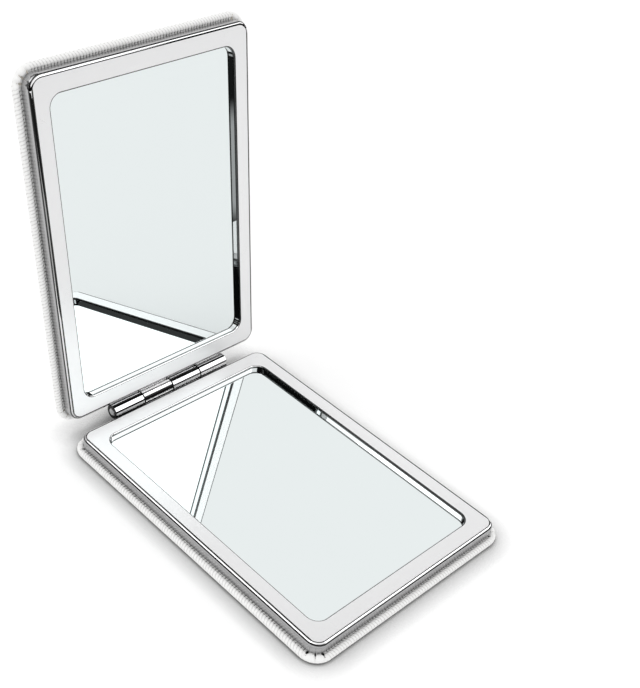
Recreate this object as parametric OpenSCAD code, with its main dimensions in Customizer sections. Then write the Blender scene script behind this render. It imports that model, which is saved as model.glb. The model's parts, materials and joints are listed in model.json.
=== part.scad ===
// Folding compact mirror: two leather-covered halves on one barrel hinge.
// The base lies on its back and the lid stands open over it.
// Origin: centre of the base's underside. X runs along the hinge, +Z is up,
// and the hinge is at the +Y end.

/* [Case] */
// Width of one half over its leather cover
case_w = 65; // [56:1:90]
// Length of one half over its leather cover, from free end to hinge end
case_l = 88; // [70:1:130]
// Corner radius of the leather cover, seen from above
case_corner_r = 5; // [4.4:0.1:9]
// Angle the lid is opened to, where 0 is shut
open_angle = 99.5; // [0:0.5:180]

/* [Cover] */
// Thickness of the leather
leather_t = 0.4; // [0.3:0.05:0.6]
// Thickness of the foam sheet under the leather
padding_t = 0.3; // [0.2:0.05:0.8]
// Thickness of the stiff board
board_t = 0.7; // [0.5:0.05:1.2]
// How far the cover stands out past the frame's side wall
overhang = 1.6; // [1.4:0.05:1.75]
// How far the leather is turned in behind the frame
turn_in = 6; // [3:0.5:12]
// Leather left outside the board's edge
edge_wrap = 0.6; // [0.5:0.05:0.8]

/* [Frame] */
// Height of the pressed frame
frame_h = 3; // [2.8:0.05:4]
// Thickness of the frame's sheet metal
sheet_t = 0.5; // [0.4:0.05:0.6]
// Radius of the frame's rounded outer edge
edge_r = 0.9; // [0.8:0.05:1.1]
// Corner radius of the frame's flat face
face_corner_r = 2.5; // [1.5:0.1:4]
// Width of the flat face beside the window
side_bar = 3.9; // [3.8:0.05:8]
// Width of the flat face at the window's two ends
end_bar = 4.1; // [4:0.05:8]
// Corner radius of the window
window_corner_r = 3; // [2:0.1:8]
// Radius of the window's rounded edge
window_edge_r = 0.3; // [0.1:0.05:0.4]

/* [Mirror] */
// Thickness of the mirror pane
pane_t = 1; // [0.6:0.05:1]
// How far the pane reaches behind the frame on each side
pane_lap = 1.5; // [1:0.1:2.5]
// Thickness of the foam tape behind the pane
tape_t = 0.25; // [0.1:0.05:0.3]
// How far the tape stops short of the pane's edge
tape_inset = 2; // [1:0.5:6]
// Thickness of the steel plate that closes the frame's back
plate_t = 0.35; // [0.25:0.05:0.4]

/* [Hinge] */
// Length of the hinge barrel
hinge_l = 38; // [24:0.2:44]
// Outer diameter of the knuckles
knuckle_d = 3.9; // [3.8:0.05:4.6]
// Number of knuckles, shared evenly by the two leaves
knuckle_n = 4; // [2:2:8]
// Gap between neighbouring knuckles
knuckle_gap = 0.16; // [0.1:0.02:0.4]
// Chamfer on the knuckles' ends
knuckle_chamfer = 0.12; // [0.05:0.01:0.3]
// Clearance between a knuckle and the frame of the other half
barrel_clearance = 0.1; // [0.08:0.01:0.3]
// Diameter of the hinge pin
pin_d = 2.3; // [1.6:0.1:2.5]
// Radial clearance of the pin in the knuckles
pin_clearance = 0.03; // [0.02:0.01:0.08]
// Chamfer on the pin's ends
pin_chamfer = 0.25; // [0.1:0.05:0.5]
// Thickness of the hinge leaves
leaf_t = 0.5; // [0.4:0.05:0.6]
// Distance of the hinge axis above the frame's face
axis_lift = 0.2; // [0.15:0.05:0.3]

/* [Closure] */
// Diameter of the closing magnets
magnet_d = 3; // [2:0.1:3.4]
// Distance between the two magnets of one half
magnet_pitch = 36; // [16:1:44]

/* [Hidden] */
$fn = 64;
// Clearance between pieces that slip together by hand
fit_gap = 0.1;
// Overrun of every cut
cut = 0.5;
// Side margin of a leaf's neck inside its knuckle's length
neck_inset = 0.8;

// Outline sizes, from the cover inwards
frame_w = case_w - 2 * overhang;
frame_l = case_l - 2 * overhang;
frame_corner_r = face_corner_r + edge_r;
face_w = frame_w - 2 * edge_r;
face_l = frame_l - 2 * edge_r;
window_w = face_w - 2 * side_bar;
window_l = face_l - 2 * end_bar;
pocket_w = frame_w - 2 * sheet_t;
pocket_l = frame_l - 2 * sheet_t;
pocket_corner_r = frame_corner_r - sheet_t;
board_w = case_w - 2 * edge_wrap;
board_l = case_l - 2 * edge_wrap;
board_corner_r = case_corner_r - edge_wrap;
opening_w = frame_w - 2 * turn_in;
opening_l = frame_l - 2 * turn_in;

// Heights in one half, from its underside up to the frame's face
padding_z = leather_t;
board_z = padding_z + padding_t;
turn_in_z = board_z + board_t;
frame_z = turn_in_z + leather_t;
tape_z = frame_z + plate_t;
pane_z = tape_z + tape_t;
pane_top_z = pane_z + pane_t;
face_z = frame_z + frame_h;
rim_r = frame_z / 2;
ceiling_z = face_z - sheet_t;
recess = face_z - pane_top_z;

// Hinge: the axis stands off until a knuckle clears the rounded edge
knuckle_r = knuckle_d / 2;
bore_r = pin_d / 2 + pin_clearance;
edge_reach = knuckle_r + barrel_clearance + edge_r;
edge_drop = axis_lift + edge_r;
axis_out = sqrt(edge_reach * edge_reach - edge_drop * edge_drop);
hinge_y = face_l / 2 + axis_out;
hinge_z = face_z + axis_lift;
knuckle_pitch = hinge_l / knuckle_n;
knuckle_l = knuckle_pitch - knuckle_gap;
neck_w = knuckle_l - 2 * neck_inset;
neck_drop = axis_lift + sheet_t + leaf_t / 2;
neck_r = (bore_r + knuckle_r) / 2;
neck_reach = sqrt(neck_r * neck_r - neck_drop * neck_drop);
leaf_z = ceiling_z - leaf_t;
leaf_inner_y = window_l / 2 + sheet_t + fit_gap;
leaf_outer_y = pocket_l / 2 - fit_gap;
magnet_y = -(window_l / 2 + sheet_t + pocket_l / 2) / 2;
magnet_h = ceiling_z - pane_top_z;

// Flat rectangle with round corners, centred on the origin
module round_rect(w, l, r) {
    square([w - 2 * r, l], center = true);
    square([w, l - 2 * r], center = true);
    for (side = [-1, 1], end = [-1, 1])
        translate([side * (w / 2 - r), end * (l / 2 - r)])
            circle(r = r);
}

// Sheet with round corners from height z0 to z1
module sheet(w, l, r, z0, z1) {
    translate([0, 0, z0])
        linear_extrude(height = z1 - z0)
            round_rect(w, l, r);
}

// Carries a flat profile round a rectangle with round corners:
// the profile's x points outwards from that line and its y points up
module edge_sweep(w, l, r) {
    for (turn = [0, 180]) {
        rotate([0, 0, turn])
            translate([w / 2, 0, 0])
                rotate([90, 0, 0])
                    linear_extrude(height = l - 2 * r, center = true)
                        children();
        rotate([0, 0, turn + 90])
            translate([l / 2, 0, 0])
                rotate([90, 0, 0])
                    linear_extrude(height = w - 2 * r, center = true)
                        children();
    }
    for (turn = [0, 90, 180, 270]) {
        across = (turn == 0 || turn == 180) ? w : l;
        along = (turn == 0 || turn == 180) ? l : w;
        rotate([0, 0, turn])
            translate([across / 2 - r, along / 2 - r, 0])
                rotate_extrude(angle = 90)
                    translate([r, 0])
                        children();
    }
}

// Quarter of a disc, in the corner to the upper right
module quarter_disc(r) {
    intersection() {
        circle(r = r);
        square([r, r]);
    }
}

// Half of a disc, to the right
module half_disc(r) {
    intersection() {
        circle(r = r);
        translate([0, -r])
            square([r, 2 * r]);
    }
}

// What a cutter takes off an edge to round it, with that edge at the origin
module edge_rounder(r) {
    difference() {
        translate([-cut, -r])
            square([r + cut, r + cut]);
        translate([r, -r])
            circle(r = r);
    }
}

// Leather folded round the board's edge and turned in at the front
module cover_shell() {
    difference() {
        union() {
            sheet(case_w - 2 * rim_r, case_l - 2 * rim_r, case_corner_r - rim_r, 0, frame_z);
            translate([0, 0, rim_r])
                edge_sweep(case_w - 2 * rim_r, case_l - 2 * rim_r, case_corner_r - rim_r)
                    half_disc(rim_r);
        }
        sheet(board_w, board_l, board_corner_r, padding_z, turn_in_z);
        sheet(opening_w, opening_l, frame_corner_r, board_z, frame_z + cut);
    }
}

// Foam sheet between the leather and the board
module foam_sheet() {
    sheet(board_w - 2 * fit_gap, board_l - 2 * fit_gap, board_corner_r - fit_gap,
        padding_z, board_z);
}

// Stiff board that the leather is wrapped over
module stiff_board() {
    sheet(board_w - 2 * fit_gap, board_l - 2 * fit_gap, board_corner_r - fit_gap,
        board_z, turn_in_z);
}

// Adhesive sheet that joins the board to the frame's back plate
module bond_sheet() {
    sheet(opening_w - 2 * fit_gap, opening_l - 2 * fit_gap, frame_corner_r - fit_gap,
        turn_in_z, frame_z);
}

// Steel plate that closes the back of the frame
module back_plate() {
    sheet(pocket_w - 2 * fit_gap, pocket_l - 2 * fit_gap, pocket_corner_r - fit_gap,
        frame_z, tape_z);
}

// Foam tape that presses the pane against the frame
module mirror_tape() {
    sheet(window_w + 2 * (pane_lap - tape_inset), window_l + 2 * (pane_lap - tape_inset),
        window_corner_r, tape_z, pane_z);
}

// Mirror pane behind the window
module mirror_pane() {
    sheet(window_w + 2 * pane_lap, window_l + 2 * pane_lap, window_corner_r + pane_lap,
        pane_z, pane_top_z);
}

// Slots in the frame's end wall that the leaf's necks pass through
module neck_slots() {
    for (i = [0 : 2 : knuckle_n - 1])
        translate([
            (i + 1 / 2) * knuckle_pitch - hinge_l / 2 - neck_w / 2 - fit_gap,
            leaf_outer_y,
            leaf_z - fit_gap
        ])
            cube([neck_w + 2 * fit_gap, frame_l - pocket_l + 2 * fit_gap, leaf_t + fit_gap]);
}

// Pressed frame: flat face, rounded outer edge, side wall and window wall
module frame_shell() {
    difference() {
        union() {
            difference() {
                union() {
                    sheet(frame_w, frame_l, frame_corner_r, frame_z, face_z - edge_r);
                    sheet(face_w, face_l, face_corner_r, face_z - edge_r, face_z);
                    translate([0, 0, face_z - edge_r])
                        edge_sweep(face_w, face_l, face_corner_r)
                            quarter_disc(edge_r);
                }
                sheet(pocket_w, pocket_l, pocket_corner_r, frame_z - cut, ceiling_z);
            }
            sheet(window_w + 2 * sheet_t, window_l + 2 * sheet_t, window_corner_r + sheet_t,
                pane_top_z, ceiling_z);
        }
        sheet(window_w, window_l, window_corner_r, pane_top_z - cut, face_z + cut);
        translate([0, 0, face_z])
            edge_sweep(window_w, window_l, window_corner_r)
                edge_rounder(window_edge_r);
        neck_slots();
    }
}

// Hinge leaf: a strip inside the frame with a neck to each of its knuckles
module hinge_leaf() {
    difference() {
        union() {
            translate([-hinge_l / 2, leaf_inner_y, leaf_z])
                cube([hinge_l, leaf_outer_y - leaf_inner_y, leaf_t]);
            for (i = [0 : 2 : knuckle_n - 1])
                translate([(i + 1 / 2) * knuckle_pitch - hinge_l / 2, 0, 0]) {
                    translate([-neck_w / 2, leaf_inner_y, leaf_z])
                        cube([neck_w, hinge_y - neck_reach - leaf_inner_y, leaf_t]);
                    knuckle();
                }
        }
        translate([-hinge_l / 2 - cut, hinge_y, hinge_z])
            rotate([0, 90, 0])
                cylinder(r = bore_r, h = hinge_l + 2 * cut);
    }
}

// One knuckle on the hinge axis, centred on x = 0
module knuckle() {
    translate([-knuckle_l / 2, hinge_y, hinge_z])
        rotate([0, 90, 0])
            rotate_extrude()
                polygon([
                    [0, 0],
                    [knuckle_r - knuckle_chamfer, 0],
                    [knuckle_r, knuckle_chamfer],
                    [knuckle_r, knuckle_l - knuckle_chamfer],
                    [knuckle_r - knuckle_chamfer, knuckle_l],
                    [0, knuckle_l]
                ]);
}

// The two closing magnets at the free end of one half
module magnet_pair() {
    for (side = [-1, 1])
        translate([side * magnet_pitch / 2, magnet_y, pane_top_z])
            cylinder(d = magnet_d, h = magnet_h);
}

// Turns a piece of the base over into the lid at its open angle
module as_lid() {
    translate([0, hinge_y, hinge_z])
        rotate([-open_angle, 0, 0])
            rotate([0, 180, 0])
                translate([0, -hinge_y, -hinge_z])
                    children();
}

module base_cover() { color("whitesmoke") cover_shell(); }
module base_padding() { color("ivory") foam_sheet(); }
module base_board() { color("tan") stiff_board(); }
module base_bond_sheet() { color("beige") bond_sheet(); }
module base_back_plate() { color("lightsteelblue") back_plate(); }
module base_frame() { color("gainsboro") frame_shell(); }
module base_mirror() { color("azure") mirror_pane(); }
module base_mirror_tape() { color("lightgray") mirror_tape(); }
module base_hinge_leaf() { color("silver") hinge_leaf(); }
module base_magnets() { color("dimgray") magnet_pair(); }

module lid_cover() { color("whitesmoke") as_lid() cover_shell(); }
module lid_padding() { color("ivory") as_lid() foam_sheet(); }
module lid_board() { color("tan") as_lid() stiff_board(); }
module lid_bond_sheet() { color("beige") as_lid() bond_sheet(); }
module lid_back_plate() { color("lightsteelblue") as_lid() back_plate(); }
module lid_frame() { color("gainsboro") as_lid() frame_shell(); }
module lid_mirror() { color("azure") as_lid() mirror_pane(); }
module lid_mirror_tape() { color("lightgray") as_lid() mirror_tape(); }
module lid_hinge_leaf() { color("silver") as_lid() hinge_leaf(); }
module lid_magnets() { color("dimgray") as_lid() magnet_pair(); }

// Pin through all the knuckles, flush with the ends of the barrel
module hinge_pin() {
    color("lightgray")
        translate([-hinge_l / 2, hinge_y, hinge_z])
            rotate([0, 90, 0])
                rotate_extrude()
                    polygon([
                        [0, 0],
                        [pin_d / 2 - pin_chamfer, 0],
                        [pin_d / 2, pin_chamfer],
                        [pin_d / 2, hinge_l - pin_chamfer],
                        [pin_d / 2 - pin_chamfer, hinge_l],
                        [0, hinge_l]
                    ]);
}

base_cover();
base_padding();
base_board();
base_bond_sheet();
base_back_plate();
base_frame();
base_mirror();
base_mirror_tape();
base_hinge_leaf();
base_magnets();
lid_cover();
lid_padding();
lid_board();
lid_bond_sheet();
lid_back_plate();
lid_frame();
lid_mirror();
lid_mirror_tape();
lid_hinge_leaf();
lid_magnets();
hinge_pin();
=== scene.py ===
"""Looks of a folding compact mirror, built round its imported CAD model.

Each half is modelled once in the base's place, lying on its leather back, and the lid's copy is
turned over onto the hinge. Lengths are in metres.
"""

import json
import math

import bmesh
import bpy
from bpy.props import FloatProperty, FloatVectorProperty, PointerProperty
from mathutils import Matrix, Vector, geometry, noise


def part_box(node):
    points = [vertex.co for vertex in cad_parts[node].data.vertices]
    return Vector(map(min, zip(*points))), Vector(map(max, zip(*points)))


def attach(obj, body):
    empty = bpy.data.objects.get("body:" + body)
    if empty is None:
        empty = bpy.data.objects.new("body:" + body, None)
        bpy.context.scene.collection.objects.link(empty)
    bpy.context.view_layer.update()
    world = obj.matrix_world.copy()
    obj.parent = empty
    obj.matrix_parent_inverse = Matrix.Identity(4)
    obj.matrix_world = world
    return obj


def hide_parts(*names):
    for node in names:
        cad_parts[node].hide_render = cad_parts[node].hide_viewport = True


bl_info = {
    "name": "Compact mirror looks",
    "version": (1, 0, 0),
    "blender": (4, 5, 0),
    "location": "View3D > Sidebar > Compact mirror",
    "description": "Leather, chromed frames, panes, hinge and studio of a compact mirror",
    "category": "Object",
}

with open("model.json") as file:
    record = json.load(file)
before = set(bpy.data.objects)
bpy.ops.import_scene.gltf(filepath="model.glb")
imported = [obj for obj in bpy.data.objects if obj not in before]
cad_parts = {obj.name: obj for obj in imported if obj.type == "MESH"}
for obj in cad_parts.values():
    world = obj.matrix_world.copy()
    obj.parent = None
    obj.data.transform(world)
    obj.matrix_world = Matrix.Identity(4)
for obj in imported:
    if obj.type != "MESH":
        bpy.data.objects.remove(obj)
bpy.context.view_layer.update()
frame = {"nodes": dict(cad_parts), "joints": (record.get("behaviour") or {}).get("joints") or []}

MM = 0.001
_, COVER_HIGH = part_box("base_cover")
FRAME_LOW, FRAME_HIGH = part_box("base_frame")
_, PANE_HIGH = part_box("base_mirror")
PAD_LOW, PAD_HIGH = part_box("base_padding")
LEAF_LOW, LEAF_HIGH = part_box("base_hinge_leaf")
HINGE = frame["joints"][0]
HINGE_SPOT = Vector(HINGE["pos_m"])
OPEN_ANGLE = -math.radians(HINGE["range_deg"][0])
TURN_OVER = (
    Matrix.Translation(HINGE_SPOT)
    @ Matrix.Rotation(-OPEN_ANGLE, 4, "X")
    @ Matrix.Rotation(math.pi, 4, "Y")
    @ Matrix.Translation(-HINGE_SPOT)
)
HALVES = (("base", Matrix.Identity(4)), ("lid", TURN_OVER))


# Sizes and colours


def length_property(name, description, millimetres):
    """A length that a user can change"""
    return FloatProperty(
        name=name, description=description, default=millimetres * MM, unit="LENGTH"
    )


class CoverSizes(bpy.types.PropertyGroup):
    """Sizes of the leather covers"""

    corner_radius: length_property(
        "Corner radius", "Radius of the cover's corners, seen from above", 5.0
    )
    leather: length_property("Leather", "Thickness of the leather", 0.4)
    turn_in: length_property("Turn-in", "How far the leather reaches in behind the frame", 6.0)
    grain_pitch: length_property("Grain pitch", "Distance between two ridges of the grain", 0.79)
    rib_pitch: length_property(
        "Rib pitch", "Distance between two ribs of the grain on the rim", 0.82
    )
    cross_pitch: length_property("Cross pitch", "Distance between the nicks along a ridge", 0.7)
    pleat_depth: length_property(
        "Pleat depth", "Depth of the gathers where the leather turns a corner", 0.6
    )


class FrameSizes(bpy.types.PropertyGroup):
    """Sizes of the pressed frames"""

    corner_radius: length_property("Corner radius", "Radius of the side wall's corners", 3.4)
    edge_radius: length_property("Edge radius", "Radius of the rounded outer edge", 0.9)
    side_bar: length_property("Side bar", "Width of the flat face beside the window", 3.9)
    end_bar: length_property("End bar", "Width of the flat face at the window's ends", 4.1)
    window_radius: length_property("Window radius", "Radius of the window's corners", 3.0)
    window_edge: length_property("Window edge", "Radius of the window's rounded edge", 0.3)
    sheet: length_property("Sheet metal", "Thickness of the frame's sheet metal", 0.5)
    # Painted dark reflection: a dark strip painted on the window wall under its rounded edge.
    rim_band: length_property(
        "Rim band", "Dark strip of the window wall under its rounded edge", 0.45
    )
    # Painted reflection: a dark strip painted on the face beside the rounding of the long sides.
    painted_edge_strip: length_property(
        "Edge strip", "Dark strip of the face beside the rounding of its long sides", 0.18
    )
    lip: length_property("Lip", "Step from the rounded edge in to the side wall", 0.07)
    wall_sink: length_property(
        "Wall sink", "How far the foot of the window's wall dips into the mirror", 0.02
    )


def colour_property(name, description, default):
    """A colour that a user can change"""
    return FloatVectorProperty(
        name=name, description=description, default=default, subtype="COLOR", size=3, min=0, max=1
    )


class FinishColours(bpy.types.PropertyGroup):
    """Colours of the finishes"""

    leather: colour_property("Leather", "Ridges of the leather's grain", (0.92, 0.918, 0.91))
    # Painted shade: the grain's low places are coloured darker, as shade in the valleys.
    leather_valley_shade: colour_property(
        "Grain valleys", "Low places of the grain", (0.68, 0.675, 0.665)
    )
    # Painted shade: the notches of the grain beside the frame, coloured dark as the crevice's
    # shade.
    crevice: colour_property(
        "Crevice", "Notches of the grain beside the frame", (0.14, 0.135, 0.13)
    )
    flesh: colour_property("Flesh side", "Inner side of the leather", (0.74, 0.69, 0.62))
    foam: colour_property("Foam", "Padding and mirror tape", (0.8, 0.78, 0.7))
    board: colour_property("Board", "Stiff board in the covers", (0.46, 0.37, 0.26))
    bond: colour_property("Bond sheet", "Adhesive between board and plate", (0.72, 0.68, 0.54))
    face: colour_property("Frame face", "Satin face of the frames", (0.895, 0.895, 0.9))
    edge: colour_property("Frame edge", "Polished edges of the frames", (0.9, 0.9, 0.905))
    # Painted reflection: the dark colour painted along the rounded outer edges and the face's
    # strip beside them.
    line: colour_property("Edge line", "Dark polish along the rounded edges", (0.06, 0.06, 0.06))
    # Painted shade and dark reflection: the side walls are coloured darker than the face they are
    # pressed from.
    wall: colour_property("Frame wall", "Side walls of the frames", (0.46, 0.46, 0.465))
    # Painted dark reflection: the dark colour painted on the window's rim.
    rim: colour_property("Window rim", "Darker edge of the windows", (0.1, 0.1, 0.1))
    # Painted shade: near black inside the frames, where the hollow lies in shade.
    inside: colour_property("Frame inside", "Bare metal inside the frames", (0.05, 0.05, 0.05))
    mirror: colour_property("Mirror", "Silvering behind the panes", (0.807, 0.855, 0.855))
    hinge: colour_property("Hinge", "Chrome of the knuckles", (0.9, 0.9, 0.905))
    steel: colour_property("Steel", "Back plates", (0.55, 0.56, 0.58))
    pin: colour_property("Pin", "Ends of the hinge pin", (0.66, 0.66, 0.67))
    magnet: colour_property("Magnets", "Nickel of the magnets", (0.5, 0.49, 0.46))


class StudioSetup(bpy.types.PropertyGroup):
    """Light of the studio"""

    ambient: FloatProperty(name="Ambient", description="Light from all round", default=0.93)
    sun: FloatProperty(name="Sun", description="Strength of the soft overhead light", default=0.5)
    sun_size: FloatProperty(
        name="Sun size",
        description="How wide the overhead light spreads",
        default=math.radians(42),
        subtype="ANGLE",
    )
    floor: colour_property("Floor", "Colour of the floor", (0.92, 0.92, 0.92))


class CompactMirror(bpy.types.PropertyGroup):
    """All settings of the compact mirror"""

    cover: PointerProperty(type=CoverSizes)
    frame: PointerProperty(type=FrameSizes)
    colours: PointerProperty(type=FinishColours)
    studio: PointerProperty(type=StudioSetup)


# Shader nodes


class Wire:
    """An output socket in a node tree. Arithmetic on it adds Math nodes."""

    def __init__(self, tree, socket=None):
        self.tree = tree
        self.socket = socket

    def node(self, kind, settings=None, inputs=None, output=0):
        """Adds a node, sets it up, fills its sockets and returns one of its outputs."""
        made = self.tree.nodes.new(kind)
        for name, value in (settings or {}).items():
            setattr(made, name, value)
        for name, value in (inputs or {}).items():
            self.fill(made.inputs[name], value)
        return Wire(self.tree, made.outputs[output])

    def fill(self, socket, value):
        """Links a wire to a socket, or sets the socket's own value."""
        if isinstance(value, Wire):
            self.tree.links.new(value.socket, socket)
        elif socket.type == "RGBA" and len(value) == 3:
            socket.default_value = (*value, 1.0)
        else:
            socket.default_value = value

    def math(self, operation, *values):
        """A Math node on this wire and up to two more values."""
        inputs = {i: value for i, value in enumerate((self, *values))}
        return self.node("ShaderNodeMath", {"operation": operation}, inputs)

    def __add__(self, other):
        return self.math("ADD", other)

    __radd__ = __add__

    def __sub__(self, other):
        return self.math("SUBTRACT", other)

    def __rsub__(self, other):
        return (self * -1.0) + other

    def __mul__(self, other):
        return self.math("MULTIPLY", other)

    __rmul__ = __mul__

    def __truediv__(self, other):
        return self.math("DIVIDE", other)

    def __pow__(self, other):
        return self.math("POWER", other)

    def ramp(self, low, high):
        """0 where the wire is at low or less, 1 at high or more, smooth between."""
        return self.node(
            "ShaderNodeMapRange",
            {"interpolation_type": "SMOOTHSTEP"},
            {"Value": self, "From Min": low, "From Max": high},
        )

    def mix(self, first, second):
        """A colour that goes from first to second as the wire goes from 0 to 1."""
        made = self.tree.nodes.new("ShaderNodeMix")
        made.data_type = "RGBA"
        self.fill(made.inputs["Factor"], self)
        self.fill(made.inputs[6], first)
        self.fill(made.inputs[7], second)
        return Wire(self.tree, made.outputs[2])

    def parts(self):
        """The x, y and z of a vector wire."""
        first = self.node("ShaderNodeSeparateXYZ", inputs={"Vector": self})
        outputs = first.socket.node.outputs
        return [Wire(self.tree, outputs[name]) for name in ("X", "Y", "Z")]


def start_finish(name):
    """A new material with its shader, its node tree's wire and the Principled node."""
    material = bpy.data.materials.new(name)
    material.use_nodes = True
    shader = material.node_tree.nodes["Principled BSDF"]
    return material, Wire(material.node_tree), shader


def half_coordinates(wire, half):
    """Object coordinates as they would be if the piece lay in the base."""
    spot = wire.node("ShaderNodeTexCoord", output="Object")
    if half == "base":
        return spot
    back = TURN_OVER.inverted()
    return wire.node(
        "ShaderNodeMapping",
        inputs={"Vector": spot, "Location": back.to_translation(), "Rotation": back.to_euler()},
    )


def speckle(wire, vector, size, detail=2.0):
    """Noise whose spots are about the given size."""
    return wire.node(
        "ShaderNodeTexNoise",
        inputs={"Vector": vector, "Scale": 1.0 / size, "Detail": detail},
        output="Fac",
    )


def bump(wire, height, distance, strength):
    """A surface normal raised by the height times the distance."""
    return wire.node(
        "ShaderNodeBump",
        inputs={"Height": height, "Distance": distance, "Strength": strength},
    )


def leather_finish():
    """Embossed leather: slanting ridges on the back, ribs across the rim, and nicks in both, with
    painted shade in the grain's valleys and in the crevice beside the frame.
    """
    settings = bpy.context.scene.compact_mirror
    colours = settings.colours
    material, wire, shader = start_finish("embossed_leather")
    u, v, _ = wire.node("ShaderNodeUVMap", {"uv_map": "grain"}).parts()
    modelled, crevice, gather = (
        wire.node("ShaderNodeAttribute", {"attribute_name": name}, output="Fac")
        for name in ("modelled", "crevice", "gather")
    )
    ridge, nick = grain_waves(u, v, settings.cover)
    grain = ridge * (nick * 0.4 + 0.6)
    ribs = rib_waves(wire)
    grain = grain + (ribs - grain) * modelled
    height = grain * (1.0 - gather * 0.8) + gather * 0.7
    spot = wire.node("ShaderNodeTexCoord", output="Object")
    pores = speckle(wire, spot, 0.16 * MM, 3.0)
    cloud = speckle(wire, spot, 9 * MM)
    relief = height * (1.0 - modelled * 0.75) + pores * 0.16
    # Painted shade: the low places of the grain are coloured darker by their height.
    shade = height.ramp(-0.05, 0.42) * (cloud * 0.1 + 0.95)
    # low holds the painted shade of the valleys and, beside the frame, of the crevice.
    low = crevice.mix(colours.leather_valley_shade, colours.crevice)
    wire.fill(shader.inputs["Base Color"], shade.mix(low, colours.leather))
    wire.fill(shader.inputs["Roughness"], 0.62 - height * 0.14 + pores * 0.06)
    wire.fill(shader.inputs["Normal"], bump(wire, relief, 0.06 * MM, 0.8))
    shader.inputs["Specular IOR Level"].default_value = 0.4
    return material


def grain_waves(u, v, sizes):
    """Ridge and nick heights from 0 to 1 at wires u, v of the grain map."""
    across = (u + v) * (2 * math.pi / (math.sqrt(2) * sizes.grain_pitch))
    along = (v - u) * (2 * math.pi / (math.sqrt(2) * sizes.cross_pitch))
    return across.math("COSINE") * 0.5 + 0.5, along.math("COSINE") * 0.5 + 0.5


def rib_waves(wire):
    """Height from 0 to 1 of the ribs that cross the rim, whose turns are in the ribs map."""
    along, across, _ = wire.node("ShaderNodeUVMap", {"uv_map": "ribs"}).parts()
    rib = (along * (2 * math.pi)).math("COSINE") * 0.5 + 0.5
    nick = (across * (2 * math.pi)).math("COSINE") * 0.5 + 0.5
    return rib * (nick * 0.5 + 0.5)


def flesh_finish():
    """Fibrous inner side of the leather."""
    colours = bpy.context.scene.compact_mirror.colours
    material, wire, shader = start_finish("leather_flesh")
    spot = wire.node("ShaderNodeTexCoord", output="Object")
    fibres = speckle(wire, spot, 0.35 * MM, 6.0)
    dark = [0.75 * part for part in colours.flesh]
    wire.fill(shader.inputs["Base Color"], fibres.mix(dark, colours.flesh))
    wire.fill(shader.inputs["Roughness"], fibres * 0.1 + 0.85)
    wire.fill(shader.inputs["Normal"], bump(wire, fibres, 0.08 * MM, 0.7))
    return material


# Reflections painted on the knuckles: dark bands painted into the chrome's colour, knuckle by
# knuckle along the hinge: where each starts and ends round the axis, in degrees from the top
# towards the base's free end, and how dark it is.
PAINTED_KNUCKLE_REFLECTIONS = (
    ((0, 27, 1.0), (57, 69, 1.0), (69, 90, 0.5), (92, 114, 1.0)),
    ((8, 12, 0.4), (45, 80, 1.0), (97, 110, 1.0)),
    ((-30, -24, 0.9), (0, 31, 1.0), (57, 61, 0.9), (61, 88, 0.45), (92, 110, 1.0)),
    ((-8, 6, 0.9), (9, 27, 1.0), (57, 61, 0.9), (66, 70, 0.6), (78, 84, 0.6), (92, 110, 0.9)),
)
# The colour of the painted dark reflections on the knuckles.
PAINTED_REFLECTION_COLOUR = (0.02, 0.02, 0.02)
# How far the dark line of a joint reaches along a knuckle, in full and as it fades.
JOINT_LINE = (0.16 * MM, 0.25 * MM)


def metal_finish(name, colour, half, roughness, streak, metallic=1.0):
    """Metal with faint marks, drawn out into streaks where a part of streak is small."""
    material, wire, shader = start_finish(name)
    spot = half_coordinates(wire, half)
    stretched = wire.node("ShaderNodeMapping", inputs={"Vector": spot, "Scale": streak})
    lines = speckle(wire, stretched, 0.12 * MM, 4.0)
    cloud = speckle(wire, spot, 6 * MM, 2.0)
    darker = [0.93 * part for part in colour]
    wire.fill(shader.inputs["Base Color"], (lines * 0.5 + cloud * 0.5).mix(darker, colour))
    uneven = lines * roughness * 0.3 + cloud * roughness * 0.2 + roughness * 0.75
    wire.fill(shader.inputs["Roughness"], uneven)
    wire.fill(shader.inputs["Normal"], bump(wire, lines, 0.002 * MM, roughness))
    shader.inputs["Metallic"].default_value = metallic
    return material


def hinge_finish():
    """Polished chrome with painted reflections: dark bands painted round the knuckles, and a dark
    line at each joint.
    """
    colours = bpy.context.scene.compact_mirror.colours
    material, wire, shader = start_finish("hinge_chrome")
    spot = wire.node("ShaderNodeTexCoord", output="Object")
    x, y, z = spot.parts()
    turn = (HINGE_SPOT.y - y).math("ARCTAN2", z - HINGE_SPOT.z) * (180 / math.pi)
    pitch = (LEAF_HIGH.x - LEAF_LOW.x) / len(PAINTED_KNUCKLE_REFLECTIONS)
    # dark holds the real dark joint lines, and below it gains the painted reflection bands.
    dark = 1.0 - x.math("PINGPONG", pitch / 2).ramp(*JOINT_LINE)
    for number, bands in enumerate(PAINTED_KNUCKLE_REFLECTIONS):
        start = LEAF_LOW.x + number * pitch
        here = x.math("GREATER_THAN", start) * x.math("LESS_THAN", start + pitch)
        for low, high, level in bands:
            band = turn.ramp(low - 1, low + 1) * (1.0 - turn.ramp(high - 1, high + 1))
            dark = dark.math("MAXIMUM", band * here * level)
    wire.fill(shader.inputs["Base Color"], dark.mix(colours.hinge, PAINTED_REFLECTION_COLOUR))
    haze = speckle(wire, spot, 0.6 * MM, 2.0)
    wire.fill(shader.inputs["Roughness"], haze * 0.04 + 0.12)
    shader.inputs["Metallic"].default_value = 1.0
    return material


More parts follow.
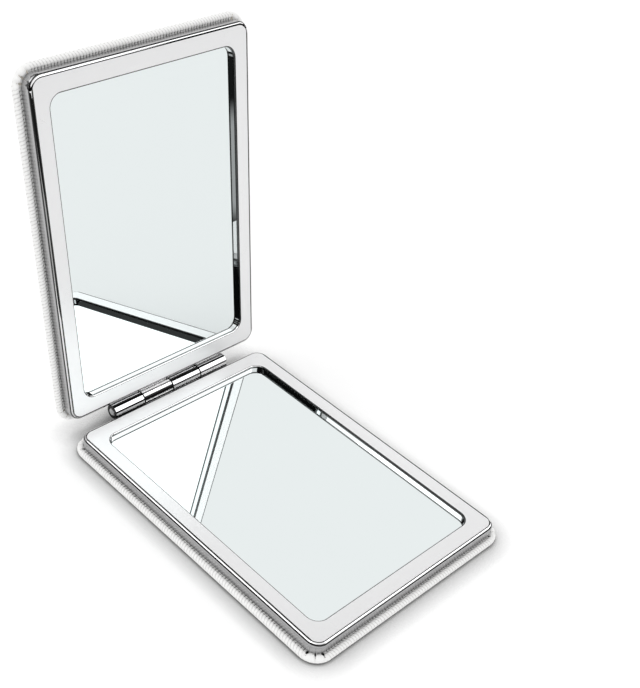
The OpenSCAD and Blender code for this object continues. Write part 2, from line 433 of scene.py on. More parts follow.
def mirror_finish(half):
    """Silvered glass, clean apart from the faintest haze."""
    colours = bpy.context.scene.compact_mirror.colours
    material, wire, shader = start_finish("silvered_glass_" + half)
    spot = half_coordinates(wire, half)
    haze = speckle(wire, spot, 14 * MM, 3.0)
    dust = speckle(wire, spot, 0.5 * MM, 2.0)
    wire.fill(shader.inputs["Roughness"], haze.ramp(0.62, 0.9) * dust * 0.03)
    darker = [0.99 * part for part in colours.mirror]
    wire.fill(shader.inputs["Base Color"], haze.mix(darker, colours.mirror))
    shader.inputs["Metallic"].default_value = 1.0
    return material


def soft_finish(name, colour, size, depth, roughness=0.85):
    """Foam, board or adhesive: speckled, matt and uneven."""
    material, wire, shader = start_finish(name)
    spot = wire.node("ShaderNodeTexCoord", output="Object")
    cells = wire.node(
        "ShaderNodeTexVoronoi", inputs={"Vector": spot, "Scale": 1.0 / size}, output="Distance"
    )
    cloud = speckle(wire, spot, size * 6, 4.0)
    dark = [0.8 * part for part in colour]
    wire.fill(shader.inputs["Base Color"], (cells * 0.5 + cloud * 0.5).mix(dark, colour))
    wire.fill(shader.inputs["Roughness"], cloud * 0.1 + (roughness - 0.05))
    wire.fill(shader.inputs["Normal"], bump(wire, cells, depth, 0.6))
    return material


# Modelling

# How many faces round a corner, an outer edge and a window's edge have.
CORNER_STEPS = 14
EDGE_STEPS = 12
WINDOW_STEPS = 5


def deselect_all():
    """Leaves edit mode and selects nothing."""
    if bpy.context.object and bpy.context.object.mode != "OBJECT":
        bpy.ops.object.mode_set(mode="OBJECT")
    bpy.ops.object.select_all(action="DESELECT")


def add_block(low, high):
    """A cube between two corners, in edit mode, with its place in its mesh."""
    deselect_all()
    middle = (Vector(low) + Vector(high)) / 2
    bpy.ops.mesh.primitive_cube_add(size=1, location=middle)
    block = bpy.context.object
    block.scale = Vector(high) - Vector(low)
    bpy.ops.object.transform_apply(location=True, rotation=True, scale=True)
    bpy.ops.object.mode_set(mode="EDIT")
    return block


def choose(kind, test):
    """Selects the parts of the mesh in edit mode that pass a test."""
    bpy.ops.mesh.select_mode(type=kind)
    bpy.ops.mesh.select_all(action="DESELECT")
    data = bpy.context.object.data
    mesh = bmesh.from_edit_mesh(data)
    parts = {"VERT": mesh.verts, "EDGE": mesh.edges, "FACE": mesh.faces}[kind]
    found = [part for part in parts if test(part)]
    if not found:
        raise RuntimeError("nothing of the piece passes the selection")
    for part in found:
        part.select_set(True)
    mesh.select_flush_mode()
    bmesh.update_edit_mesh(data)


def is_upright(edge):
    """Whether an edge runs along Z."""
    first, second = edge.verts
    return math.hypot(first.co.x - second.co.x, first.co.y - second.co.y) < 1e-7


def lies_at(height):
    """A test for edges and faces that lie flat at a height."""
    return lambda part: all(abs(vert.co.z - height) < 1e-6 for vert in part.verts)


def bevel(radius, segments):
    """Rounds the selected edges."""
    bpy.ops.mesh.bevel(offset=radius, segments=segments, profile=0.5, affect="EDGES")


def round_corners(radius, segments):
    """Rounds the upright edges of the block in edit mode."""
    choose("EDGE", is_upright)
    bevel(radius, segments)


def apply_modifier(piece, kind, **settings):
    """Adds a modifier to a piece and applies it."""
    bpy.context.view_layer.objects.active = piece
    modifier = piece.modifiers.new(kind.lower(), kind)
    for name, value in settings.items():
        setattr(modifier, name, value)
    bpy.ops.object.modifier_apply(modifier=modifier.name)


def cut_block(piece, half_size, corner, low, high, operation):
    """Joins a block with round corners to a piece, or cuts it out."""
    block = add_block((-half_size.x, -half_size.y, low), (half_size.x, half_size.y, high))
    round_corners(corner, CORNER_STEPS)
    bpy.ops.object.mode_set(mode="OBJECT")
    deselect_all()
    piece.select_set(True)
    apply_modifier(piece, "BOOLEAN", operation=operation, object=block, solver="EXACT")
    bpy.data.objects.remove(block)


def place_halves(model, stem, nodes):
    """Gives each half its own copy of a piece modelled in the base's place."""
    pieces = []
    for half, turn in HALVES:
        piece = bpy.data.objects.new(half + "_" + stem, model.data.copy())
        bpy.context.scene.collection.objects.link(piece)
        piece.data.transform(turn)
        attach(piece, half)
        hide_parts(*[half + "_" + node for node in nodes])
        pieces.append(piece)
    bpy.data.objects.remove(model)
    return pieces


def outline(half_w, half_l, radius, steps):
    """Points once round a rectangle with round corners, each with its outward direction,
    the corner it belongs to and how far round that corner it is, from 0 to 1."""
    points = []
    for quarter in range(4):
        across, along = (half_w, half_l) if quarter % 2 == 0 else (half_l, half_w)
        run = along - radius
        count = steps[quarter % 2]
        spots = [(across, run * (2 * i / count - 1), 0.0) for i in range(count)]
        for i in range(steps[2]):
            angle = math.pi / 2 * i / steps[2]
            spots.append(
                (across - radius + radius * math.cos(angle), run + radius * math.sin(angle), angle)
            )
        turn = Matrix.Rotation(quarter * math.pi / 2, 2)
        for x, y, angle in spots:
            out = turn @ Vector((math.cos(angle), math.sin(angle)))
            points.append((turn @ Vector((x, y)), out, quarter, angle / (math.pi / 2)))
    return points


def smooth(low, high, value):
    """0 below low, 1 above high, smooth between."""
    share = min(1.0, max(0.0, (value - low) / (high - low)))
    return share * share * (3 - 2 * share)


# How the straight grain wanders: how long its bends are and how far they reach, in millimetres.
GRAIN_BENDS = ((2.6, 0.11), (17, 0.35))


def grain_place(u, v):
    """Bends the straight grain a little, as a real emboss wanders."""
    spot = Vector((u, v, 0.0))
    for length, reach in GRAIN_BENDS:
        bend = noise.noise_vector(spot / (length * MM)) * reach * MM
        u += bend.x
        v += bend.y
    return u, v


def rib_height(along, across):
    """Height of the ribs on the rim from 0 to 1, as the finish draws it."""
    rib = math.cos(2 * math.pi * along) * 0.5 + 0.5
    nick = math.cos(2 * math.pi * across) * 0.5 + 0.5
    return rib * (nick * 0.5 + 0.5)


# How long the small and the wide bends of the ribs are, and how the ribs slant.
RIB_BENDS = (1.7 * MM, 9 * MM)
RIB_SLANT = 0.3


def rib_turns(spot, run, way, sizes):
    """Which rib and which nick a place on the rim is at: how far it is round the outline and how
    far up from the flat back, both counted in pitches."""
    shift = noise.noise(Vector((spot.x, spot.y, way)) / RIB_BENDS[0])
    drift = noise.noise(Vector((spot.x, spot.y, 0.0)) / RIB_BENDS[1])
    along = run + RIB_SLANT * way / sizes.rib_pitch + 0.14 * shift + 0.3 * drift
    return along, way / sizes.cross_pitch + 0.5 * drift + 0.2 * shift


# Rows of the cover's section from its flat back outwards, up round the rim, in to the frame's
# wall and on below the frame. Each has its offset from the flat back's outline, its height and,
# where it shows, the depth of the grain there, in millimetres.
RIM_ROWS = 14
TOP_ROWS = (
    (-0.12, 1.93, 0.15),
    (-0.24, 1.94, 0.18),
    (-0.35, 1.92, 0.22),
    (-0.45, 1.88, 0.27),
    (-0.54, 1.82, 0.31),
    (-0.61, 1.74, 0.3),
    (-0.67, 1.64, 0.24),
    (-0.76, 1.56, 0.12),
    (-0.95, 1.62, 0.03),
)
HIDDEN_ROWS = ((-1.3, 1.78), (-2.2, 1.79), (-4.5, 1.79))
# Where each gather of a corner is, from 0 to 1 round it, and how deep beside the others.
PLEATS = ((0.2, 0.8), (0.5, 1.0), (0.79, 0.85))
PLEAT_WIDTH = 0.042
# Where a gather begins on its way up the rim and where it has its full depth.
PLEAT_START = (1.0 * MM, 2.6 * MM)
# The same for the grain, which gets lost in the gathers.
GATHER_START = (0.6 * MM, 2.2 * MM)
# Painted shade in the crevice beside the frame: where the notches begin to darken, and where they
# are darkest.
CREVICE_SHADE_START = (0.4 * MM, 0.72 * MM)
# Spacing of the nets that close the flat back and the inner side.
BACK_NET = 1.3 * MM
INNER_NET = 7 * MM
# Points along a long side, along a short side and round a corner of the cover.
OUTLINE_STEPS = (344, 228, 34)
# The least radius that a row's corners keep.
TIGHTEST_TURN = 3.1 * MM


def cover_rows():
    """The section's rows as offset, height, way along the leather and grain depth, in metres."""
    rim = COVER_HIGH.z / 2
    rows = [(-0.8 * MM, 0.0, -0.8 * MM, 0.0), (-0.4 * MM, 0.0, -0.4 * MM, 0.0)]
    for i in range(RIM_ROWS + 1):
        angle = math.pi * (i / RIM_ROWS - 0.5)
        lift = 0.11 * MM * smooth(0.1, 1.4, angle)
        depth = (0.02 + 0.1 * i / RIM_ROWS) * MM
        way = rim * (angle + math.pi / 2)
        rows.append((rim * math.cos(angle), rim + rim * math.sin(angle) + lift, way, depth))
    start = rows[-1][2]
    for offset, height, depth in TOP_ROWS:
        rows.append((offset * MM, height * MM, start - offset * MM, depth * MM))
    for offset, height in HIDDEN_ROWS:
        rows.append((offset * MM, height * MM, start - offset * MM, 0.0))
    return rows


def inner_rows(sizes, half_w, way):
    """Rows of the inner side: back under the turn-in, round the board's edge and in again."""
    inner = -sizes.turn_in - (half_w - FRAME_HIGH.x)
    top = COVER_HIGH.z - 0.01 * MM
    under = COVER_HIGH.z - sizes.leather
    board_edge = PAD_HIGH.x - half_w + 0.08 * MM
    bend = -2.2 * MM
    places = (
        (inner, top),
        (inner, under),
        (bend, under),
        (board_edge, under),
        (board_edge, sizes.leather),
        (bend, sizes.leather),
    )
    return [(offset, height, way, 0.0) for offset, height in places]


def rib_runs(base, pitch):
    """How many ribs lie between the outline's first point and each point, and once round."""
    runs = [0.0]
    for j, (spot, *_) in enumerate(base):
        runs.append(runs[-1] + (base[(j + 1) % len(base)][0] - spot).length)
    whole = round(runs[-1] / pitch)
    return [run / runs[-1] * whole for run in runs], whole


def cover_mesh(sizes):
    """One half's leather, wrapped round the board and turned in behind the frame."""
    rim = COVER_HIGH.z / 2
    half_w = COVER_HIGH.x - rim
    half_l = COVER_HIGH.y - rim
    corner = sizes.corner_radius - rim
    base = outline(half_w, half_l, corner, OUTLINE_STEPS)
    count = len(base)
    runs, whole = rib_runs(base, sizes.rib_pitch)
    rows = cover_rows()
    visible = len(rows)
    rows.extend(inner_rows(sizes, half_w, rows[-1][2]))
    verts = []
    coordinates = []
    ribs = []
    modelled = []
    gathers = []
    crevice_shades = []
    for number, (offset, height, way, depth) in enumerate(rows):
        radius = max(corner + offset, TIGHTEST_TURN)
        ring = outline(half_w + offset, half_l + offset, radius, OUTLINE_STEPS)
        previous = rows[max(number - 1, 0)]
        following = rows[min(number + 1, len(rows) - 1)]
        rise = Vector((following[0] - previous[0], following[1] - previous[1])).normalized()
        for j in range(count):
            spot, out, quarter, share = ring[j]
            flat_spot, flat_out = base[j][0], base[j][1]
            unrolled = flat_spot + flat_out * way
            u, v = grain_place(unrolled.x, unrolled.y)
            gather = math.sin(math.pi * share) * smooth(*GATHER_START, way)
            along, across = rib_turns(flat_spot, runs[j], way, sizes)
            sink = 0.85 * depth * (1.0 - rib_height(along, across)) * (1.0 - 0.8 * gather)
            if depth > 0:
                sink += pleat_sink(quarter, share, way, sizes)
            inward = rise.y * sink
            verts.append(
                (spot.x - out.x * inward, spot.y - out.y * inward, height + rise.x * sink)
            )
            coordinates.append((u, v))
            ribs.append((along, across))
            modelled.append(smooth(0.02 * MM, 0.12 * MM, depth))
            gathers.append(gather)
            # The crevice's painted shade, on the rows that run in to the frame.
            near_frame = height > COVER_HIGH.z / 2 and number < visible
            crevice_shades.append(smooth(*CREVICE_SHADE_START, -offset) if near_frame else 0.0)
    faces = []
    for i in range(len(rows) - 1):
        for j in range(count):
            k = (j + 1) % count
            a = i * count
            b = a + count
            faces.append((a + j, a + k, b + k, b + j))
    flesh_from = (visible - 1) * count
    fill_ring(verts, coordinates, modelled, faces, range(count), BACK_NET, True)
    last = (len(rows) - 1) * count
    fill_ring(verts, coordinates, modelled, faces, range(last, last + count), INNER_NET, False)
    spare = len(verts) - len(gathers)
    for levels in (gathers, crevice_shades):
        levels.extend([0.0] * spare)
    ribs.extend([(0.0, 0.0)] * spare)
    maps = rib_map(ribs, faces, count, whole), coordinates
    return verts, faces, maps, (modelled, gathers, crevice_shades), flesh_from


def rib_map(ribs, faces, count, whole):
    """The ribs' turns for each face corner. Past the last place of a ring they go on counting."""
    flat = []
    for face in faces:
        closing = len(face) == 4 and {i % count for i in face} == {0, count - 1}
        for i in face:
            along, across = ribs[i]
            flat.extend((along + whole if closing and i % count == 0 else along, across))
    return flat


def pleat_sink(quarter, share, way, sizes):
    """How deep a corner's gathers are at a place on the leather."""
    if share <= 0:
        return 0.0
    sink = 0.0
    for number, (place, strength) in enumerate(PLEATS):
        centre = place + 0.035 * math.sin(quarter * 2.3 + number * 1.7)
        width = PLEAT_WIDTH + 0.014 * math.sin(quarter * 1.1 + number * 2.9)
        sink += strength * math.exp(-(((share - centre) / width) ** 2))
    return sizes.pleat_depth * smooth(*PLEAT_START, way) * sink


def fill_ring(verts, coordinates, modelled, faces, ring, spacing, faces_down):
    """Closes a flat ring with a net of triangles at the given spacing."""
    ring = list(ring)
    flat = [Vector(verts[i][:2]) for i in ring]
    height = verts[ring[0]][2]
    reach_x = max(spot.x for spot in flat)
    reach_y = max(spot.y for spot in flat)
    inset = 0.9 * spacing
    rounding = 4 * MM
    spots = []
    across = int((reach_x - inset) / spacing)
    along = int((reach_y - inset) / spacing)
    for i in range(-across, across + 1):
        for j in range(-along, along + 1):
            spot = Vector((i * spacing, j * spacing))
            corner = Vector((abs(spot.x) - reach_x + rounding, abs(spot.y) - reach_y + rounding))
            if corner.x <= 0 or corner.y <= 0 or corner.length <= rounding - inset:
                spots.append(spot)
    edges = [(i, (i + 1) % len(ring)) for i in range(len(ring))]
    net = geometry.delaunay_2d_cdt(flat + spots, edges, [], 1, 1e-9)
    places, _, triangles, origins = net[:4]
    index = []
    for place, origin in zip(places, origins):
        known = [i for i in origin if i < len(ring)]
        if known:
            index.append(ring[known[0]])
            continue
        index.append(len(verts))
        verts.append((place.x, place.y, height))
        coordinates.append(grain_place(place.x, place.y))
        modelled.append(0.0)
    for triangle in triangles:
        a, b, c = (index[i] for i in triangle)
        start = Vector(verts[a])
        turned = (Vector(verts[b]) - start).cross(Vector(verts[c]) - start).z
        faces.append((a, b, c) if (turned < 0) == faces_down else (a, c, b))


def build_cover_object(sizes):
    """The cover as an object in the base's place."""
    verts, faces, (ribs, coordinates), levels, flesh_from = cover_mesh(sizes)
    data = bpy.data.meshes.new("leather_cover")
    data.from_pydata(verts, [], faces)
    grain = data.uv_layers.new(name="grain")
    flat = []
    for loop in data.loops:
        flat.extend(coordinates[loop.vertex_index])
    grain.data.foreach_set("uv", flat)
    data.uv_layers.new(name="ribs").data.foreach_set("uv", ribs)
    for name, values in zip(("modelled", "gather", "crevice"), levels):
        attribute = data.attributes.new(name, "FLOAT", "POINT")
        attribute.data.foreach_set("value", values)
    data.materials.append(leather_finish())
    data.materials.append(flesh_finish())
    for polygon, face in zip(data.polygons, faces):
        inner = min(face) >= flesh_from and min(verts[i][2] for i in face) > 1e-6
        polygon.material_index = 1 if inner else 0
    data.shade_smooth()
    data.validate()
    cover = bpy.data.objects.new("leather_cover", data)
    bpy.context.scene.collection.objects.link(cover)
    return cover


class MIRROR_OT_leather_covers(bpy.types.Operator):
    """Wraps each half's board in embossed leather with a rolled rim and gathered corners"""

    bl_idname = "compact_mirror.leather_covers"
    bl_label = "Leather covers"

    def execute(self, context):
        cover = build_cover_object(context.scene.compact_mirror.cover)
        for piece in place_halves(cover, "leather", ["cover"]):
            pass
        return {"FINISHED"}


class MIRROR_OT_foam_pads(bpy.types.Operator):
    """Lays a thin foam pad between the leather and the board of each half"""

    bl_idname = "compact_mirror.foam_pads"
    bl_label = "Foam pads"

    def execute(self, context):
        colours = context.scene.compact_mirror.colours
        slack = Vector((0.05, 0.05, 0.02)) * MM
        corner = 4.2 * MM
        soft_edge = 0.08 * MM
        pad = add_block(PAD_LOW + slack, PAD_HIGH - slack)
        round_corners(corner, 8)
        choose("EDGE", lambda edge: not is_upright(edge))
        bevel(soft_edge, 3)
        bpy.ops.object.mode_set(mode="OBJECT")
        bpy.ops.object.shade_smooth_by_angle(angle=math.radians(40))
        pad.data.materials.append(soft_finish("foam", colours.foam, 0.4 * MM, 0.05 * MM))
        for piece in place_halves(pad, "foam_pad", ["padding"]):
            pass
        return {"FINISHED"}


class MIRROR_OT_frames(bpy.types.Operator):
    """Presses the chromed frames: satin face, polished edges, side wall and window wall"""

    bl_idname = "compact_mirror.frames"
    bl_label = "Chromed frames"

    def execute(self, context):
        settings = context.scene.compact_mirror
        shell = self.press_shell(settings.frame)
        for piece in place_halves(shell, "pressed_frame", ["frame"]):
            half = piece.name.split("_")[0]
            self.finish_faces(piece, half, settings)
        return {"FINISHED"}

    @staticmethod
    def press_shell(sizes):
        """The frame: a rounded cap drawn down into a side wall, hollow, with a walled window."""
        face = FRAME_HIGH.z
        cap_foot = face - sizes.edge_radius - 0.05 * MM
        shell = add_block((FRAME_LOW.x, FRAME_LOW.y, cap_foot), FRAME_HIGH)
        round_corners(sizes.corner_radius, CORNER_STEPS)
        choose("EDGE", lies_at(face))
        bevel(sizes.edge_radius, EDGE_STEPS)
        choose("FACE", lies_at(cap_foot))
        bpy.ops.mesh.inset(thickness=sizes.lip)
        drop = cap_foot - FRAME_LOW.z
        bpy.ops.mesh.extrude_region_move(TRANSFORM_OT_translate={"value": (0, 0, -drop)})
        bpy.ops.object.mode_set(mode="OBJECT")
        spare = 1.0 * MM
        ceiling = face - sizes.sheet
        window = Vector(
            (
                FRAME_HIGH.x - sizes.edge_radius - sizes.side_bar,
                FRAME_HIGH.y - sizes.edge_radius - sizes.end_bar,
                0.0,
            )
        )
        foot = PANE_HIGH.z - sizes.wall_sink
        side = Vector((sizes.sheet, sizes.sheet, 0.0))
        pocket = Vector((FRAME_HIGH.x, FRAME_HIGH.y, 0.0)) - side
        cut_block(shell, pocket, sizes.corner_radius - sizes.sheet, -spare, ceiling, "DIFFERENCE")
        wall = window + side
        cut_block(shell, wall, sizes.window_radius + sizes.sheet, foot, ceiling, "UNION")
        cut_block(shell, window, sizes.window_radius, foot - spare, face + spare, "DIFFERENCE")
        bpy.ops.object.mode_set(mode="EDIT")
        choose(
            "EDGE",
            lambda edge: lies_at(face)(edge)
            and all(
                abs(vert.co.x) < window.x + 1e-6 and abs(vert.co.y) < window.y + 1e-6
                for vert in edge.verts
            ),
        )
        bevel(sizes.window_edge, WINDOW_STEPS)
        wall_top = face - sizes.window_edge
        choose(
            "FACE",
            lambda part: abs(part.normal.z) < 0.01
            and not outside_window(part.calc_center_median(), sizes)
            and part.calc_center_median().z < wall_top,
        )
        bpy.ops.mesh.bisect(plane_co=(0, 0, wall_top - sizes.rim_band), plane_no=(0, 0, 1))
        for sign in (-1.0, 1.0):
            choose("FACE", lambda part: part.normal.z > 0.9999 and lies_at(face)(part))
            line_x = sign * (FRAME_HIGH.x - sizes.edge_radius - sizes.painted_edge_strip)
            bpy.ops.mesh.bisect(plane_co=(line_x, 0, 0), plane_no=(1, 0, 0))
        bpy.ops.object.mode_set(mode="OBJECT")
        bpy.ops.object.shade_smooth_by_angle(angle=math.radians(35))
        apply_modifier(shell, "WEIGHTED_NORMAL", keep_sharp=True, weight=100)
        return shell

    @staticmethod
    def finish_faces(piece, half, settings):
        """Satin on the flat face, polish and painted dark reflection lines on the edges, a painted
        dark rim in the window, a side wall darkened with painted shade and reflection, and painted
        shade inside.
        """
        colours = settings.colours
        drawn = (1.0, 1.0, 0.12)
        even = (1.0, 1.0, 1.0)
        for finish in (
            metal_finish("satin_chrome_" + half, colours.face, half, 0.3, even, 0.45),
            metal_finish("polished_chrome_" + half, colours.edge, half, 0.015, even),
            metal_finish("pressed_wall_" + half, colours.wall, half, 0.14, drawn, 0.85),
            metal_finish("window_rim_" + half, colours.rim, half, 0.12, even),
            metal_finish("bare_inside_" + half, colours.inside, half, 0.6, even),
            metal_finish("edge_line_" + half, colours.line, half, 0.05, even),
        ):
            piece.data.materials.append(finish)
        back = dict(HALVES)[half].inverted()
        for polygon in piece.data.polygons:
            normal = back.to_3x3() @ polygon.normal
            polygon.material_index = frame_finish(back @ polygon.center, normal, settings.frame)


# Places of the frame's finishes in its list of materials.
SATIN, POLISH, SHADED_WALL, PAINTED_RIM, SHADED_INSIDE, PAINTED_LINE = range(6)


def frame_finish(spot, normal, sizes):
    """Which finish a face of the frame has."""
    face = FRAME_HIGH.z
    outer = outside_window(spot, sizes)
    outwards = normal.x * spot.x + normal.y * spot.y > 0
    if normal.z > 0.9999 and spot.z > face - 0.001 * MM:
        # The face's outer strip on the long sides gets the painted dark reflection line.
        strip = FRAME_HIGH.x - sizes.edge_radius - sizes.painted_edge_strip
        return PAINTED_LINE if abs(spot.x) > strip else SATIN
    # Bands of the outer rounding also get the painted dark reflection line.
    if outer and outwards and (normal.z > 0.96 or 0.5 < normal.z < 0.8):
        return PAINTED_LINE
    # The side wall gets the darker colour of painted shade and reflection.
    if outer and outwards and spot.z < face - 0.45 * sizes.edge_radius and abs(normal.z) <= 0.5:
        return SHADED_WALL
    if not outer and spot.z > face - sizes.window_edge and normal.y < -0.3:
        return POLISH
    # The window wall under its rounded edge gets the painted dark reflection.
    if not outer and spot.z > face - sizes.window_edge - sizes.rim_band:
        return PAINTED_RIM
    if outer == outwards and spot.z < face and (outer or normal.z > -0.5):
        return POLISH
    # Faces inside the frame get the painted shade colour.
    return SHADED_INSIDE if spot.z <= face - sizes.sheet + 1e-6 else POLISH


def outside_window(spot, sizes):
    """Whether a place on the frame is outside the window's wall."""
    room = sizes.edge_radius + sizes.side_bar - 2 * sizes.sheet
    return abs(spot.x) > FRAME_HIGH.x - room or abs(spot.y) > FRAME_HIGH.y - room


class MIRROR_OT_carried_parts(bpy.types.Operator):
    """Gives the CAD parts that stay their finishes"""

    bl_idname = "compact_mirror.carried_parts"
    bl_label = "Finishes of the CAD parts"

    def execute(self, context):
        colours = context.scene.compact_mirror.colours
        foam = soft_finish("foam_tape", colours.foam, 0.5 * MM, 0.05 * MM)
        board = soft_finish("grey_board", colours.board, 0.25 * MM, 0.03 * MM, 0.9)
        bond = soft_finish("adhesive", colours.bond, 1.2 * MM, 0.02 * MM, 0.45)
        chrome = hinge_finish()
        for half, _ in HALVES:
            steel = metal_finish("rolled_steel_" + half, colours.steel, half, 0.32, (0.05, 1, 1))
            nickel = metal_finish("nickel_" + half, colours.magnet, half, 0.2, (1, 1, 1))
            self.dress(half + "_mirror", mirror_finish(half))
            self.dress(half + "_mirror_tape", foam)
            self.dress(half + "_board", board)
            self.dress(half + "_bond_sheet", bond)
            self.dress(half + "_back_plate", steel)
            self.dress(half + "_magnets", nickel)
            self.dress(half + "_hinge_leaf", chrome)
        pin = metal_finish("turned_pin", colours.pin, "base", 0.18, (0.2, 1, 1))
        self.dress("hinge_pin", pin)
        return {"FINISHED"}

    @staticmethod
    def dress(node, material):
        """Puts a finish on a CAD part."""
        frame["nodes"][node].material_slots[0].material = material


# Studio

# The dark card on the floor, its corners and height in millimetres.
CARD_CORNERS = ((-412, -620), (200, -620), (-10, -60), (-412, -60))
CARD_HEIGHT = 0.3
# The shadow painted into the floor's colour beside the object by an occlusion node: how far it
# reaches, how open the floor is at its darkest and how steeply it darkens.
SHADOW_REACH = 7 * MM
SHADOW_LEAST = 0.4
SHADOW_POWER = 1.9
FLOOR_GLOW = (0.08, 0.08, 0.08)
BLACK = (0.0, 0.0, 0.0)
LEAST_LIGHT = 0.004
# Panels in the surroundings that only polished metal shows: from and to which x over z they
# reach, from and to which y over z, and how dark or bright they are. Below 0 dims the one beneath.
DARK_PANELS = (
    (-0.25, 0.5, 0.14, 4.0, 1.0),
    (0.3, 4.0, -0.08, 0.36, 1.0),
    (-9.0, -1.15, 0.1, 9.0, 1.0),
    (-2.8, -0.765, -1.2, 0.1, 1.0),
    (-2.8, -1.57, -3.4, -1.2, 1.0),
    (-1.57, -1.4, -3.4, -1.2, 0.95),
)
BRIGHT_PANELS = (
    (0.42, 3.0, -4.5, 0.0, 1.0),
    (0.42, 1.15, -1.0, -0.53, -0.55),
    (-1.12, -0.8, 0.25, 1.1, 0.45),
    (-0.75, -0.4, -0.7, 0.15, 0.8),
)
GREY_PANEL = (-0.78, -0.25, 0.3, 1.3, 0.6)


def make_matt(shader):
    """Takes the gloss off a finish."""
    shader.inputs["Roughness"].default_value = 0.9
    shader.inputs["Specular IOR Level"].default_value = 0.0


def between(wire, low, high):
    """1 where the wire lies between low and high, with a narrow soft edge."""
    soft = 0.015
    return wire.ramp(low - soft, low + soft) * (1.0 - wire.ramp(high - soft, high + soft))


def panel(lean_x, lean_y, place):
    """A panel's level in the directions that it covers, and 0 elsewhere."""
    x_low, x_high, y_low, y_high, level = place
    return between(lean_x, x_low, x_high) * between(lean_y, y_low, y_high) * level


# The camera at the photograph's viewing angle: where it stands, where its right and up point,
# its lens and how far its frame is shifted.
CAMERA_SPOT = Vector((-151.0836, -125.7023, 187.1361)) * MM
CAMERA_RIGHT = Vector((0.748876, -0.658091, 0.078108))
CAMERA_UP = Vector((0.409096, 0.55179, 0.726752))
CAMERA_LENS = 57.2848
CAMERA_SHIFT = (0.1487, 0.18677)


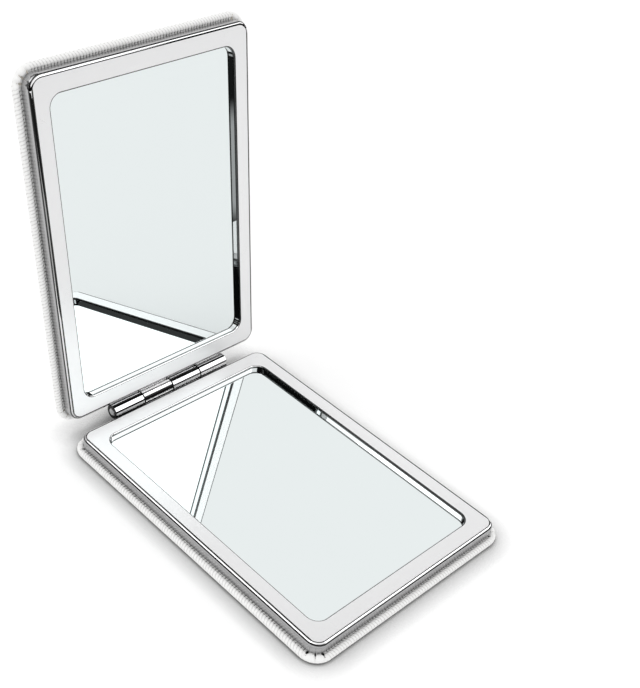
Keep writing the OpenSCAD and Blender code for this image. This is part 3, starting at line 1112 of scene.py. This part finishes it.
class MIRROR_OT_studio(bpy.types.Operator):
    """Sets up the floor, the soft light, the surroundings that the chrome shows and the camera"""

    bl_idname = "compact_mirror.studio"
    bl_label = "Studio"

    def execute(self, context):
        studio = context.scene.compact_mirror.studio
        self.lay_floor(studio)
        self.lay_card()
        self.hang_sun(studio)
        self.paint_surroundings(context.scene, studio)
        self.place_camera(context.scene)
        context.scene.view_settings.view_transform = "Standard"
        return {"FINISHED"}

    @staticmethod
    def lay_floor(studio):
        """A pale floor that the camera and the chrome see as white, with the object's shadow,
        deepened by a shadow painted into its colour near the object.
        """
        deselect_all()
        bpy.ops.mesh.primitive_plane_add(size=6.0, location=(0, 0, 0))
        floor = bpy.context.object
        floor.name = "floor"
        material, wire, shader = start_finish("pale_floor")
        make_matt(shader)
        # Painted shadow: an occlusion node darkens the floor's colour and glow near the object,
        # for the camera and the chrome.
        near = wire.node(
            "ShaderNodeAmbientOcclusion", {"samples": 5}, {"Distance": SHADOW_REACH}, output="AO"
        )
        open_floor = near.math("MAXIMUM", SHADOW_LEAST) ** SHADOW_POWER
        rays = wire.node("ShaderNodeLightPath", output="Is Camera Ray")
        glossy = Wire(wire.tree, rays.socket.node.outputs["Is Glossy Ray"])
        seen = rays.math("MAXIMUM", glossy)
        open_floor = 1.0 - seen * (1.0 - open_floor)
        wire.fill(shader.inputs["Base Color"], open_floor.mix(BLACK, studio.floor))
        glow = (rays * open_floor).mix(BLACK, FLOOR_GLOW)
        wire.fill(shader.inputs["Emission Color"], glow)
        shader.inputs["Emission Strength"].default_value = 1.0
        floor.data.materials.append(material)

    @staticmethod
    def lay_card():
        """A dark card in front of the object that only its polished metal shows."""
        data = bpy.data.meshes.new("dark_card")
        spots = [(x * MM, y * MM, CARD_HEIGHT * MM) for x, y in CARD_CORNERS]
        data.from_pydata(spots, [], [(0, 1, 2, 3)])
        card = bpy.data.objects.new("dark_card", data)
        bpy.context.scene.collection.objects.link(card)
        material, wire, shader = start_finish("dark_card")
        x, y, _ = wire.node("ShaderNodeTexCoord", output="Object").parts()
        left = (x * -1.0).ramp(60 * MM, 85 * MM) * y.ramp(-260 * MM, -190 * MM)
        wire.fill(shader.inputs["Base Color"], left.mix((0.01, 0.01, 0.01), (0.4, 0.4, 0.4)))
        make_matt(shader)
        data.materials.append(material)
        card.visible_camera = False
        card.visible_diffuse = False
        card.visible_shadow = False

    @staticmethod
    def hang_sun(studio):
        """One wide soft light from above."""
        lamp = bpy.data.lights.new("soft_top_light", "SUN")
        lamp.energy = studio.sun
        lamp.angle = studio.sun_size
        lamp.specular_factor = 0.0
        hanger = bpy.data.objects.new("soft_top_light", lamp)
        hanger.rotation_euler = (math.radians(-20), math.radians(-22), 0)
        bpy.context.scene.collection.objects.link(hanger)

    @staticmethod
    def paint_surroundings(scene, studio):
        """White for the camera, even light for the object and panels for the chrome."""
        world = bpy.data.worlds.new("studio_surroundings")
        scene.world = world
        world.use_nodes = True
        wire = Wire(world.node_tree)
        background = world.node_tree.nodes["Background"]
        direction = wire.node("ShaderNodeTexCoord", output="Generated")
        x, y, z = direction.parts()
        up = z.math("MAXIMUM", 0.001)
        lean_x = x / up
        lean_y = y / up
        above = z.ramp(0.0, 0.01)
        right_back = x.ramp(0.0, 0.02) * y.ramp(0.0, 0.02)
        dark = between(z, -0.12, 0.24) * (1.0 - right_back)
        side = (lean_x + lean_y * 0.8).ramp(0.0, 0.05)
        front = side * between(lean_y, -9.0, -0.85) * between(z, 0.1, 0.5)
        for patch in (front, *(panel(lean_x, lean_y, place) for place in DARK_PANELS)):
            dark = dark.math("MAXIMUM", patch * above)
        bright = sum(panel(lean_x, lean_y, place) for place in BRIGHT_PANELS) * above
        grey = panel(lean_x, lean_y, GREY_PANEL) * above
        level = (1.0 + bright) * (1.0 - grey) * (1.0 - dark) + LEAST_LIGHT
        path = wire.node("ShaderNodeLightPath", output="Is Camera Ray")
        diffuse = Wire(wire.tree, path.socket.node.outputs["Is Diffuse Ray"])
        even = diffuse * studio.ambient + (1.0 - diffuse) * level
        strength = path + (1.0 - path) * even
        wire.fill(background.inputs["Strength"], strength)
        background.inputs["Color"].default_value = (1.0, 1.0, 1.0, 1.0)

    @staticmethod
    def place_camera(scene):
        """The camera of the photograph."""
        data = bpy.data.cameras.new("photo_camera")
        data.lens = CAMERA_LENS
        data.shift_x, data.shift_y = CAMERA_SHIFT
        data.clip_start = 0.01
        data.clip_end = 20
        camera = bpy.data.objects.new("photo_camera", data)
        backward = CAMERA_RIGHT.cross(CAMERA_UP)
        pose = Matrix((CAMERA_RIGHT, CAMERA_UP, backward)).transposed().to_4x4()
        camera.matrix_world = Matrix.Translation(CAMERA_SPOT) @ pose
        scene.collection.objects.link(camera)
        scene.camera = camera


class MIRROR_PT_panel(bpy.types.Panel):
    """Buttons and settings of the compact mirror"""

    bl_idname = "MIRROR_PT_panel"
    bl_label = "Compact mirror"
    bl_space_type = "VIEW_3D"
    bl_region_type = "UI"
    bl_category = "Compact mirror"

    def draw(self, context):
        settings = context.scene.compact_mirror
        for operator in OPERATORS:
            self.layout.operator(operator.bl_idname)
        for group in (settings.cover, settings.frame, settings.colours, settings.studio):
            box = self.layout.box()
            for name in group.__annotations__:
                box.prop(group, name)


OPERATORS = (
    MIRROR_OT_leather_covers,
    MIRROR_OT_foam_pads,
    MIRROR_OT_frames,
    MIRROR_OT_carried_parts,
    MIRROR_OT_studio,
)
CLASSES = (
    CoverSizes,
    FrameSizes,
    FinishColours,
    StudioSetup,
    CompactMirror,
    *OPERATORS,
    MIRROR_PT_panel,
)


def register():
    """Registers the settings, operators and panel."""
    for item in CLASSES:
        bpy.utils.register_class(item)
    bpy.types.Scene.compact_mirror = PointerProperty(type=CompactMirror)


def unregister():
    """Takes the settings, operators and panel away."""
    del bpy.types.Scene.compact_mirror
    for item in reversed(CLASSES):
        bpy.utils.unregister_class(item)


def main():
    """Builds the whole scene."""
    register()
    bpy.ops.compact_mirror.leather_covers()
    bpy.ops.compact_mirror.foam_pads()
    bpy.ops.compact_mirror.frames()
    bpy.ops.compact_mirror.carried_parts()
    bpy.ops.compact_mirror.studio()


if __name__ == "__main__":
    main()
